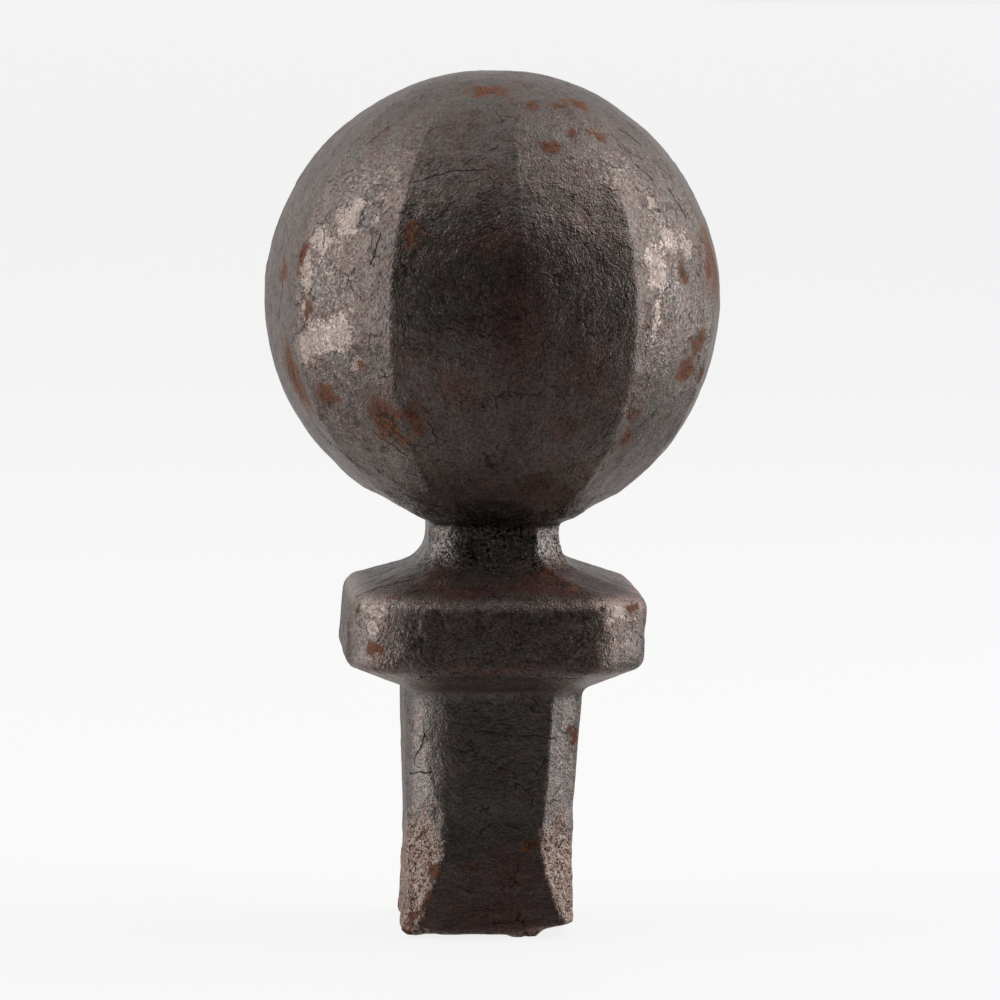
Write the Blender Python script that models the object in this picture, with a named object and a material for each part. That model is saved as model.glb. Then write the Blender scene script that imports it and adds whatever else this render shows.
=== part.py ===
"""Forged post cap: a ball hammered to twelve facets, on a short neck, a collar that covers the post's rim,
and a square shank with chamfered corners that is let into the post and welded or pinned.

It is one forging, so it is one closed solid. The outline is a chain of straight runs and rounded corners from the
end of the shank up to the crown of the ball, and each height has its own section: a square with chamfered corners
up to the neck, and a twelve-sided one in the ball. Metres, +Z up. The origin is on the ball's axis, at the level of
the shank's end, and the shank's front face looks along -Y.
"""

import math

import bmesh
import bpy
from mathutils import Matrix, Vector

MM = 0.001
NAME = "forged_post_cap"

# Shank, a square bar with chamfered corners. The chamfers run out towards the sheared end, a parallel stretch
# follows, and then the bar flares a little up to the collar. Its end lies off the ball's axis.
SHANK_WIDTH = 28.9 * MM
SHANK_CHAMFER = 5.6 * MM
SHANK_END_CHAMFER = 1.2 * MM
SHANK_END_ROUND = 0.8 * MM
CHAMFER_RUNOUT = 14 * MM
SHANK_PARALLEL = 7 * MM
SHANK_FLARE_LENGTH = 22 * MM
SHANK_FLARE = 1.0 * MM
SHANK_LEAN = 0.5 * MM

# Collar, between its two arrises before they are rounded, with a sloping underside and a sloping top
COLLAR_WIDTH = 51.3 * MM
COLLAR_CHAMFER = 8.6 * MM
COLLAR_UNDER_RISE = 4.7 * MM
COLLAR_BAND = 12 * MM
COLLAR_TOP_RISE = 5.2 * MM
COLLAR_LOWER_ROUND = 2.7 * MM
COLLAR_UPPER_ROUND = 3.0 * MM
SHANK_FILLET = 2.2 * MM

# Neck
NECK_WIDTH = 22.5 * MM
NECK_CHAMFER = 4.2 * MM
NECK_LENGTH = 6.6 * MM
NECK_LOWER_FILLET = 6.0 * MM
NECK_UPPER_FILLET = 0.8 * MM

# Ball. The diameter is over the edges of the facets. Below the cone's latitude it runs straight to the neck.
BALL_DIAMETER = 80 * MM
CONE_HEIGHT = 5.6 * MM
CONE_LATITUDE = math.radians(-55.4)
FACETS = 12
FACET_TWIST = math.radians(2.0)
FACET_SPREAD = math.radians(4.0)
FACET_FLATNESS = 0.68
FACET_FADE_FROM = math.radians(50)
FACET_FADE_TO = math.radians(76)

# The bar was sheared, and one corner of its end tore away along a slanting break.
BREAK_FRONT_WIDTH = 10 * MM
BREAK_BACK_WIDTH = 3 * MM
BREAK_RISE = 1.7 * MM

# Softness of the sections' corners, as a share of half their width, and steps of the faceted solid
CORNER_SOFTNESS = 0.12
STEPS_PER_FACET = 6
FILLET_STEPS = 4
RUNOUT_STEPS = 4
CONE_STEPS = 4
BALL_STEPS = 18

STEEL_COLOUR = (0.055, 0.047, 0.044, 1.0)
STEEL_ROUGHNESS = 0.5
STEEL_METALLIC = 0.8

FLARE_START = CHAMFER_RUNOUT + SHANK_PARALLEL
SHANK_TOP = FLARE_START + SHANK_FLARE_LENGTH
BAND_BOTTOM = SHANK_TOP + COLLAR_UNDER_RISE
BAND_TOP = BAND_BOTTOM + COLLAR_BAND
NECK_BOTTOM = BAND_TOP + COLLAR_TOP_RISE
NECK_TOP = NECK_BOTTOM + NECK_LENGTH
CONE_TOP = NECK_TOP + CONE_HEIGHT
BALL_RADIUS = BALL_DIAMETER / 2
BALL_CENTRE = CONE_TOP - BALL_RADIUS * math.sin(CONE_LATITUDE)


def ease(low, high, value):
    """0 below low, 1 above high, and a smooth step between them."""
    share = min(max((value - low) / (high - low), 0.0), 1.0)
    return share * share * (3 - 2 * share)


def mix(first, second, share):
    return first + (second - first) * share


def soft_min(first, second, reach):
    """The smaller of two values, with the corner between them rounded where they differ by less than reach."""
    overlap = max(reach - abs(first - second), 0.0) / reach
    return min(first, second) - overlap**3 * reach / 6


def chamfered_square(angle, half, chamfer):
    """Radius at an angle of a square that is half wide on each side of its centre, with chamfered corners."""
    quarter = math.pi / 2
    from_face = abs((angle + quarter / 2) % quarter - quarter / 2)
    face = half / math.cos(from_face)
    corner = (2 * half - chamfer) / (math.sqrt(2) * math.cos(quarter / 2 - from_face))
    return soft_min(face, corner, CORNER_SOFTNESS * half)


def faceted_circle(angle, radius, flatness):
    """Radius at an angle of a circle cut to facets. They are a little wider in front than at the back."""
    from_edge = angle - FACET_TWIST
    even = from_edge - FACET_SPREAD * math.sin(from_edge)
    width = 2 * math.pi / FACETS
    flat = math.cos(width / 2) / math.cos(even % width - width / 2)
    return radius * mix(1.0, flat, flatness)


def sample_angles():
    """Angles round the axis, counted from the front towards +X, with one on each facet's edge."""
    count = FACETS * STEPS_PER_FACET
    angles = []
    for step in range(count):
        even = 2 * math.pi * step / count
        from_edge = even
        for _ in range(6):
            from_edge = even + FACET_SPREAD * math.sin(from_edge)
        angles.append(from_edge + FACET_TWIST)
    return angles


def corners():
    """Corners of the outline below the ball, each as (half width, height, chamfer) and its rounding."""
    shank = SHANK_WIDTH / 2
    root = shank + SHANK_FLARE
    collar = COLLAR_WIDTH / 2
    neck = NECK_WIDTH / 2
    cone = BALL_RADIUS * math.cos(CONE_LATITUDE)
    chain = [
        ((0.0, 0.0, 0.0), 0.0),
        ((shank, 0.0, SHANK_END_CHAMFER), SHANK_END_ROUND),
        ((shank, CHAMFER_RUNOUT, SHANK_CHAMFER), 0.0),
        ((shank, FLARE_START, SHANK_CHAMFER), 0.0),
        ((root, SHANK_TOP, SHANK_CHAMFER), SHANK_FILLET),
        ((collar, BAND_BOTTOM, COLLAR_CHAMFER), COLLAR_LOWER_ROUND),
        ((collar, BAND_TOP, COLLAR_CHAMFER), COLLAR_UPPER_ROUND),
        ((neck, NECK_BOTTOM, NECK_CHAMFER), NECK_LOWER_FILLET),
        ((neck, NECK_TOP, NECK_CHAMFER), NECK_UPPER_FILLET),
        ((cone, CONE_TOP, NECK_CHAMFER), 0.0),
    ]
    return [Vector(point) for point, _ in chain], [rounding for _, rounding in chain]


def rounded(before, corner, after, radius):
    """Points of the arc that rounds a corner. The runs on either side limit its radius."""
    back = before - corner
    ahead = after - corner
    turn = math.pi - back.angle(ahead)
    if radius <= 0 or turn < 1e-6:
        return [corner]
    tangent = min(radius * math.tan(turn / 2), 0.48 * back.length, 0.48 * ahead.length)
    start = corner + back.normalized() * tangent
    end = corner + ahead.normalized() * tangent
    limited = tangent / math.tan(turn / 2)
    middle = corner + (back.normalized() + ahead.normalized()).normalized() * (limited / math.cos(turn / 2))
    points = []
    for step in range(FILLET_STEPS + 1):
        chord = start.lerp(end, step / FILLET_STEPS) - middle
        points.append(middle + chord.normalized() * limited)
    return points


def stretch(start, end, steps):
    """Points between two others, without either of them."""
    return [start.lerp(end, step / steps) for step in range(1, steps)]


def outline():
    """Points (half width, height, chamfer) from the shank's end up to the ball's crown, short of the axis."""
    chain, radii = corners()
    arcs = [rounded(*three, radius) for three, radius in zip(zip(chain, chain[1:], chain[2:]), radii[1:])]
    points = arcs[0] + stretch(arcs[0][-1], arcs[1][0], RUNOUT_STEPS)
    for arc in arcs[1:]:
        points += arc
    points += stretch(points[-1], chain[-1], CONE_STEPS)
    for step in range(BALL_STEPS):
        latitude = mix(CONE_LATITUDE, math.pi / 2, step / BALL_STEPS)
        half = BALL_RADIUS * math.cos(latitude)
        points.append(Vector((half, BALL_CENTRE + BALL_RADIUS * math.sin(latitude), 0.0)))
    return points


def radius_at(angle, half, height, chamfer):
    """Distance of the surface from the section's centre."""
    square = chamfered_square(angle, half, chamfer)
    latitude = math.asin(min(max((height - BALL_CENTRE) / BALL_RADIUS, -1.0), 1.0))
    flatness = FACET_FLATNESS * (1 - ease(FACET_FADE_FROM, FACET_FADE_TO, latitude))
    facets = faceted_circle(angle, half, flatness)
    return mix(square, facets, ease(NECK_TOP, CONE_TOP, height))


def lean_at(height):
    """Sideways place of a section's centre: below the collar the shank drifts to the left."""
    return -SHANK_LEAN * max(1 - height / SHANK_TOP, 0.0)


def forging():
    """The whole forging, lofted through its sections, as a closed mesh."""
    bm = bmesh.new()
    angles = sample_angles()
    rings = []
    for half, height, chamfer in outline():
        ring = []
        for angle in angles:
            reach = radius_at(angle, half, height, chamfer)
            across = reach * math.sin(angle) + lean_at(height)
            ring.append(bm.verts.new((across, -reach * math.cos(angle), height)))
        rings.append(ring)
    for lower, upper in zip(rings, rings[1:]):
        for i in range(len(angles)):
            after = (i + 1) % len(angles)
            bm.faces.new((lower[i], lower[after], upper[after], upper[i]))
    bm.faces.new(reversed(rings[0]))
    crown = bm.verts.new((0.0, 0.0, BALL_CENTRE + BALL_RADIUS))
    for i in range(len(angles)):
        bm.faces.new((rings[-1][i], rings[-1][(i + 1) % len(angles)], crown))
    mesh = bpy.data.meshes.new(NAME)
    bm.to_mesh(mesh)
    bm.free()
    mesh.shade_smooth()
    mesh.set_sharp_from_angle(angle=math.radians(24))
    return mesh


def break_frame():
    """Frame of the slanting break: X and Y lie in it, and Z points down out of the metal."""
    half = SHANK_WIDTH / 2
    right = half - SHANK_LEAN
    front_start = Vector((right - BREAK_FRONT_WIDTH, -half, 0.0))
    back_start = Vector((right - BREAK_BACK_WIDTH, half, 0.0))
    front_end = Vector((right, -half, BREAK_RISE))
    along = (back_start - front_start).normalized()
    down = (front_end - front_start).cross(along).normalized()
    if down.z > 0:
        down.negate()
    across = along.cross(down)
    frame = Matrix((across, along, down)).transposed().to_4x4()
    frame.translation = front_start
    return frame


def break_cutter():
    """A block whose upper face is the break, a little larger than the shank's end."""
    size = 2 * SHANK_WIDTH
    bm = bmesh.new()
    bmesh.ops.create_cube(bm, size=size)
    bmesh.ops.translate(bm, verts=bm.verts, vec=(0.0, 0.0, size / 2))
    bm.transform(break_frame())
    mesh = bpy.data.meshes.new("shear_break")
    bm.to_mesh(mesh)
    bm.free()
    return bpy.data.objects.new("shear_break", mesh)


def forged_steel():
    material = bpy.data.materials.new("forged_steel")
    material.use_nodes = True
    shader = material.node_tree.nodes["Principled BSDF"]
    shader.inputs["Base Color"].default_value = STEEL_COLOUR
    shader.inputs["Roughness"].default_value = STEEL_ROUGHNESS
    shader.inputs["Metallic"].default_value = STEEL_METALLIC
    material.diffuse_color = STEEL_COLOUR
    return material


def new_collection(name):
    collection = bpy.data.collections.new(name)
    bpy.context.scene.collection.children.link(collection)
    return collection


def main():
    for old in list(bpy.data.objects):
        bpy.data.objects.remove(old)
    parts = new_collection("Forged post cap")
    cutters = new_collection("Cutters")

    cap = bpy.data.objects.new(NAME, forging())
    cap.data.materials.append(forged_steel())
    parts.objects.link(cap)

    cutter = break_cutter()
    cutter.hide_render = True
    cutter.display_type = "WIRE"
    cutters.objects.link(cutter)

    torn_off = cap.modifiers.new("corner torn off the sheared end", "BOOLEAN")
    torn_off.operation = "DIFFERENCE"
    torn_off.object = cutter


main()
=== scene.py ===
"""Forged post cap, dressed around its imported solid.

The forging is one piece. Geometry Nodes wrap a lattice of points on the outline and the sections that the
solid has, and then raise what hammer, shears, scale and rust left on the skin. The same tree stores where the
scale flaked off, where rust sits and where the skin cracked, for the steel's material. The studio is a pale
floor under soft boxes, with the dark end of the room behind the camera.

Metres, +Z up. The origin is on the ball's axis at the shank's end, and the shank's front face looks along -Y.
Angles round the axis are counted from the front towards +X.
"""

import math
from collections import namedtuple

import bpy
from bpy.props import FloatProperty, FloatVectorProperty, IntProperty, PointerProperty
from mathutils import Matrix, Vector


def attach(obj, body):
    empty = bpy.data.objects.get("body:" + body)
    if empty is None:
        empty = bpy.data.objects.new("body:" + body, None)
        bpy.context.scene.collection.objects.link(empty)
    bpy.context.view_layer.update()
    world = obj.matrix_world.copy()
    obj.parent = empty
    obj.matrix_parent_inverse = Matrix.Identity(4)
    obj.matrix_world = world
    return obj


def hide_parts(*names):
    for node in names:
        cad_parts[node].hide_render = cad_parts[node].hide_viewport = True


bl_info = {
    "name": "Forged Post Cap",
    "version": (1, 0, 0),
    "blender": (4, 5, 0),
    "location": "View3D > Sidebar > Post Cap",
    "description": "Makes a hammered ball post cap with scaled and rusted skin, and a pale studio round it",
    "category": "Add Mesh",
}

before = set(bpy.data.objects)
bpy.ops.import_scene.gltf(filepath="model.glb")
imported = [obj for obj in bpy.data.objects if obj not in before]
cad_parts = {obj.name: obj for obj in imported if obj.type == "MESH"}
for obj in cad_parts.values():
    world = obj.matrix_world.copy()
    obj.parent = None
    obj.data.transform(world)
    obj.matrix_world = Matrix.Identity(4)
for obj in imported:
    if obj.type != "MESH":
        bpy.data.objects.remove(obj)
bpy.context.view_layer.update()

NODE = "forged_post_cap"
MM = 0.001
QUARTER = math.pi / 2

# Lattice of the skin, a block whose half width is 1: points along a side, rows up the sides, how far out a
# point counts as on a side, the angle of the crown under its top, and how far lines gather at the ridges
LATTICE_SIDE = 79
LATTICE_ROWS = 278
LATTICE_RIM = 0.9999
CROWN_CAP = math.radians(33)
RIDGE_GATHER = 0.55

# Steps of a rounding, and of the ball's outline
FILLET_STEPS = 10
ARC_STEP = math.radians(1.5)

# The crown's flat in the middle, and how softly it begins
CROWN_FLAT = 0.3 * MM
CROWN_SOFTNESS = 0.6 * MM

# The hammered corner at the front left: its angle, and the half widths between which it fades
SOFT_CORNER = math.radians(42)
SOFT_CORNER_FADE = (math.radians(18), math.radians(34))

# How far the collar's front face falls away by 45 degrees from its middle, and how much more on the right
COLLAR_PILLOW = 1.1 * MM
COLLAR_FALL = 1.5 * MM

# Latitudes between which the facets fade out towards the crown, and the nudge of the front right ridge
FACET_FADE = (math.radians(50), math.radians(76))
RIDGE_NUDGE_AT = math.radians(34)
RIDGE_NUDGE = math.radians(1.6)

# Past these angles from the middle of the camera's view the marks are noise and no longer taken from the
# listed places
VIEW_MIDDLE = math.radians(-14)
VIEW_FADE = (math.radians(84), math.radians(104))

# No mark is stored as further outside its patch than this, in the patch's own sizes
FAR_OUTSIDE = -3.0

# The least size that anything is divided by, in metres
TINY = 1e-6

# Settings that are inputs of the forging's tree
FORM_INPUTS = (
    "facets facet_twist facet_spread facet_flatness lean crown_tilt collar_skew cone_shift "
    "break_width break_back_width break_rise"
)
SKIN_INPUTS = "hammer_depth dent_depth grain_depth plate_depth flake_depth pit_depth"

# Bands of the skin, as the heights in millimetres between which each fades in, and then out
COLLAR_BAND = (42, 44, 60, 62)
ARRIS_BAND = (57.6, 58.8, 60, 61)
SLOPE_BAND = (59, 60.5, 64, 67)
NECK_BAND = (62, 66, 73, 78)
ROUGH_BAND = (36, 45, 74, 80)

# Tones that the material adds by itself
GREEN_TINGE = (0.2, 0.24, 0.21, 1.0)
# Dark for the cracks and plate rims, and for the painted shadow round the bare patches
CRACK_AND_SHADOW_TONE = (0.008, 0.006, 0.006, 1.0)

# Half the floor's width, how much it glows by itself, and the glow that the camera sees past its edge
FLOOR_HALF = 300.0
FLOOR_GLOW = 0.82
SEEN_GLOW = 0.88

# The room's tone behind the camera, and behind the part
DARK_END_TONE = (1.0, 0.93, 0.92, 1.0)
BACK_TONE = (1.0, 0.99, 0.98, 1.0)

# Soft boxes look at the aim point from an angle and an elevation in degrees. Their sizes are in metres, and
# the camera's sensor is in millimetres.
SoftBox = namedtuple("SoftBox", "name angle elevation distance width height")
LEFT_BOX = SoftBox("left box", -90, 18, 1.0, 0.85, 1.8)
RIGHT_BOX = SoftBox("right box", 95, 22, 1.0, 0.85, 1.8)
TOP_BOX = SoftBox("top box", 10, 80, 1.1, 0.9, 0.9)
BOX_AIM = Vector((0.0, 0.0, 0.09))
SENSOR_WIDTH = 36.0

# A place on the skin: its angle from the front in degrees, its height, half its width and half its height in
# millimetres, and how far it is turned anticlockwise in degrees.
Place = namedtuple("Place", "angle height wide tall turn", defaults=(0,))


def places(*rows):
    """Places, from a row of values for each."""
    return tuple(Place(*row) for row in rows)


# Scale gone, down to bright metal
BARE_PLACES = places(
    (-45, 127, 1.8, 1.6),
    (-48, 124.5, 2.6, 4.0, 35),
    (-55, 121.5, 2.2, 3.0, 50),
    (-59, 116, 2.0, 5.5, 4),
    (-58, 109.5, 1.3, 3.2, 4),
    (-55, 105.0, 4.0, 3.6),
    (-47, 106.0, 4.2, 3.2, 10),
    (-61, 102.5, 3.0, 3.0),
    (-42, 101, 2.0, 1.3, 20),
    (-38, 125.5, 1.0, 1.6),
    (41, 117, 2.6, 4.5, 10),
    (48, 122, 3.0, 2.6, -20),
    (45, 128, 1.6, 2.2, -10),
    (56, 121, 1.6, 3.2, 15),
    (40, 109, 1.4, 4.0),
    (-47, 58, 3.6, 1.0),
    (39, 57.6, 2.4, 1.2),
    (-47, 55.5, 1.4, 1.4),
    (27, 50.8, 0.8, 1.0),
)

# Worn and speckled, bright between the grains
WORN_PLACES = places(
    (46, 118, 10, 16),
    (41, 104, 7, 9),
    (60, 104, 7, 12),
    (-52, 112, 10, 16),
    (-52, 93, 9, 9),
    (-34, 88, 6, 7),
    (-25, 128, 6, 3, -15),
    (-42, 131, 10, 6),
    (36, 134, 9, 6),
    (-52, 56, 6, 4.5),
    (-40, 51, 5, 3),
    (45, 55, 5, 5),
    (29, 54, 3, 5),
    (-3, 126, 2.0, 2.8),
    (-9, 124, 1.4, 1.4),
    (-6, 120.8, 2.0, 1.2),
    # These two, on the shank's chamfers, are wear and also painted highlight
    (-48, 30, 4, 14),
    (47, 32, 3, 12),
)

# Orange rust
RUST_PLACES = places(
    (27, 144.3, 2.0, 1.2),
    (41, 144.7, 2.8, 1.6),
    (13, 144.3, 1.2, 1.4),
    (25, 139.8, 1.1, 2.3),
    (36, 139.5, 1.8, 1.6),
    (15, 137.5, 2.0, 1.3),
    (-10, 146.6, 3.8, 2.1),
    (-50, 140, 0.7, 1.0),
    (-73, 115.5, 1.8, 2.2),
    (-61, 118, 1.3, 3.0),
    (-58, 109, 1.1, 3.6, -8),
    (-26, 122.8, 1.6, 2.4),
    (-71, 97.5, 3.8, 7.0, 15),
    (-55, 94.8, 2.4, 1.8),
    (-40, 100.6, 1.3, 1.5, 40),
    (-36, 91.5, 3.2, 5.2, 25),
    (-26, 91.5, 1.6, 3.2),
    (74, 117.5, 8.0, 8.0),
    (52, 116.5, 1.2, 2.6),
    (59, 104.2, 2.2, 2.4, -30),
    (56, 99.6, 3.4, 1.8, 10),
    (66, 98.6, 2.0, 1.6),
    (38, 91.8, 1.5, 1.5),
    (39, 88.3, 1.5, 2.0),
    (32, 62.8, 1.2, 1.8),
    (-56, 57.2, 1.0, 1.2),
    (48, 58.4, 1.3, 1.0),
    (-45, 51, 1.6, 1.4),
    (52, 35, 0.9, 2.2),
    (24, 16.4, 1.6, 1.0),
    (-35, 11.6, 1.1, 1.4),
    (-11, 12.4, 1.4, 0.8),
    (-64, 6, 1.0, 5),
    (-42, 4.5, 0.6, 4.0, -14),
    (-48, 0.8, 2.0, 0.8),
)

# Pitted by rust, with bright grains between the pits, which the material paints as glints
PITTED_PLACES = places(
    (-52, 12, 6.5, 11),
    (-80, 10, 6, 9),
    (-44, 2.5, 5, 4),
    (45, 11, 5, 11),
    (31, 16, 3, 2.5),
    (27, 0.3, 4.2, 1.0),
    (12, 0, 2.5, 0.5),
)

# Reddish scale
RED_PLACES = places(
    (-18, 61.4, 11, 1.3),
    (20, 61.8, 11, 1.6),
    (42, 62.4, 7, 4),
    (-48, 62.4, 7, 3),
    (-5, 122, 7, 3.5),
    (2, 108, 6, 14),
    (-14, 97, 5, 4),
    (16, 91, 5, 3),
    (0, 48.4, 10, 1.4),
    (0, 4, 16, 7),
    (14, 12, 9, 6),
    (20, 101, 5, 6),
    (70, 60, 10, 6),
)

# Cracks in the scale, thin and a little crooked
CRACKS = places(
    (-23, 132.4, 3.0, 0, 19),
    (-13, 133.6, 3.0, 0, 8),
    (-5, 137.2, 1.0, 0, 30),
    (-52, 139, 2.2, 0, 60),
    (-36, 120.5, 2.6, 0, 78),
    (-74, 110, 3.5, 0, 72),
    (-70, 98, 4.5, 0, 80),
    (54, 139.3, 2.4, 0, -55),
    (48, 133, 2.2, 0, -60),
    (58, 128, 3.0, 0, -75),
    (-37, 87, 3.4, 0, -42),
    (-62, 84, 5.0, 0, -48),
    (-72, 88, 3.5, 0, -60),
    (-33, 81.5, 2.2, 0, -15),
    (46, 92.5, 2.8, 0, 50),
    (32, 86.5, 2.2, 0, 55),
    (-52, 61.6, 4.2, 0, 30),
    (-2, 65, 2.4, 0, -62),
    (2, 63.2, 1.6, 0, -20),
    (-6, 62, 1.2, 0, -4),
    (12, 35.6, 7.0, 0, -6),
    (5, 30.0, 3.0, 0, -23),
    (23, 25.0, 3.6, 0, -47),
    (-50, 28.5, 2.6, 0, 12),
    (-48, 33.0, 3.2, 0, 65),
    (168, 128, 5.0, 0, 18),
    (-160, 104, 4.0, 0, 70),
    (140, 92, 4.5, 0, -50),
    (-128, 120, 3.5, 0, 55),
    (112, 112, 4.0, 0, -70),
    (-172, 86, 3.0, 0, -30),
    (178, 63, 3.0, 0, 10),
    (-135, 55, 2.6, 0, 70),
    (176, 34, 6.0, 0, 5),
    (-165, 22, 4.0, 0, -40),
    (95, 30, 5.0, 0, 8),
    (-96, 34, 4.0, 0, -12),
    (-12, 46.6, 7.0, 0, -2),
    (15, 46.4, 7.0, 0, 3),
)


class Field:
    """A socket of a node tree. Arithmetic on it adds Math nodes to the tree."""

    def __init__(self, nodes, socket):
        self.nodes = nodes
        self.socket = socket

    def out(self, name):
        """Another output of the same node."""
        return Field(self.nodes, self.socket.node.outputs[name])

    def maths(self, operation, *others):
        return self.nodes.maths(operation, self, *others)

    def __add__(self, other):
        return self.maths("ADD", other)

    def __sub__(self, other):
        return self.maths("SUBTRACT", other)

    def __mul__(self, other):
        return self.maths("MULTIPLY", other)

    def __truediv__(self, other):
        return self.maths("DIVIDE", other)

    def __rsub__(self, other):
        return self.nodes.maths("SUBTRACT", other, self)

    def __rtruediv__(self, other):
        return self.nodes.maths("DIVIDE", other, self)

    def __neg__(self):
        return self * -1.0

    def __abs__(self):
        return self.maths("ABSOLUTE")

    __radd__ = __add__
    __rmul__ = __mul__

    def above(self, low, high):
        """0 below low, 1 above high, and a smooth step between them."""
        settings = {"interpolation_type": "SMOOTHSTEP"}
        return self.nodes.add("ShaderNodeMapRange", settings, {0: self, 1: low, 2: high, 3: 0.0, 4: 1.0})

    def below(self, low, high):
        """1 below low, 0 above high, and a smooth step between them."""
        return 1.0 - self.above(low, high)

    def within(self, band):
        """1 inside a band of heights in millimetres, and 0 outside it."""
        in_from, in_to, out_from, out_to = band
        return self.above(in_from * MM, in_to * MM) * self.below(out_from * MM, out_to * MM)

    def limited(self):
        """The value, kept between 0 and 1."""
        return self.maths("MINIMUM", 1.0).maths("MAXIMUM", 0.0)

    def mixed(self, other, share):
        """This value where share is 0, and the other where it is 1."""
        return self + (other - self) * share


class Nodes:
    """Builds a node tree. A node's settings are set first, and then the values or links of its sockets."""

    def __init__(self, tree):
        self.tree = tree
        tree.nodes.clear()

    def add(self, kind, settings=None, sockets=None, out=0):
        node = self.tree.nodes.new(kind)
        for name, value in (settings or {}).items():
            setattr(node, name, value)
        for name, value in (sockets or {}).items():
            if isinstance(value, Field):
                self.tree.links.new(value.socket, node.inputs[name])
            else:
                node.inputs[name].default_value = value
        return Field(self, node.outputs[out]) if node.outputs else None

    def maths(self, operation, *values):
        return self.add("ShaderNodeMath", {"operation": operation}, dict(enumerate(values)))

    def vectors(self, operation, *values, out=0):
        return self.add("ShaderNodeVectorMath", {"operation": operation}, dict(enumerate(values)), out)

    def scaled(self, vector, amount):
        """A vector or a colour times a number."""
        return self.add("ShaderNodeVectorMath", {"operation": "SCALE"}, {0: vector, 3: amount})

    def vector(self, x, y, z):
        return self.add("ShaderNodeCombineXYZ", None, {"X": x, "Y": y, "Z": z})

    def split(self, vector):
        """The three parts of a vector."""
        parts = self.add("ShaderNodeSeparateXYZ", None, {0: vector})
        return parts, parts.out("Y"), parts.out("Z")

    def noise(self, at, wavelength, detail=2.0, roughness=0.5, distortion=0.0):
        """Noise about 0, mostly between -0.5 and 0.5, whose lumps are a wavelength apart."""
        sockets = {
            "Vector": at,
            "Scale": 1.0 / wavelength,
            "Detail": detail,
            "Roughness": roughness,
            "Distortion": distortion,
        }
        return self.add("ShaderNodeTexNoise", {"noise_dimensions": "3D"}, sockets) - 0.5

    def jitter(self, at, wavelength, reach):
        """An offset in metres that changes over a wavelength, mostly shorter than half of reach."""
        sockets = {"Vector": at, "Scale": 1.0 / wavelength, "Detail": 3.0, "Roughness": 0.6}
        colour = self.add("ShaderNodeTexNoise", {"noise_dimensions": "3D"}, sockets, "Color")
        return self.vectors("MULTIPLY_ADD", colour, (reach,) * 3, (reach / -2,) * 3)

    def cells(self, at, wavelength, feature="F1"):
        """Voronoi cells: the distance from each cell's point, or from its edge, in wavelengths."""
        sockets = {"Vector": at, "Scale": 1.0 / wavelength, "Randomness": 1.0}
        return self.add("ShaderNodeTexVoronoi", {"feature": feature}, sockets, "Distance")

    def colour(self, first, second, share):
        """Two colours mixed by a share."""
        return self.add("ShaderNodeMix", {"data_type": "RGBA"}, {0: share, 6: first, 7: second}, 2)


def length(name, description, millimetres):
    """A property for a size."""
    return FloatProperty(name=name, description=description, default=millimetres * MM, unit="LENGTH")


def turn(name, description, degrees):
    """A property for an angle."""
    return FloatProperty(name=name, description=description, default=math.radians(degrees), subtype="ANGLE")


def factor(name, description, value):
    """A property for a share."""
    return FloatProperty(name=name, description=description, default=value, subtype="FACTOR")


def tone(name, description, value):
    """A property for a colour."""
    return FloatVectorProperty(name=name, description=description, default=value, size=3, subtype="COLOR")


def focal(name, description, millimetres):
    """A property for a lens."""
    return FloatProperty(name=name, description=description, default=millimetres, unit="CAMERA")


def glow(name, description, value):
    """A property for a radiance."""
    return FloatProperty(name=name, description=description, default=value)


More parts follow.
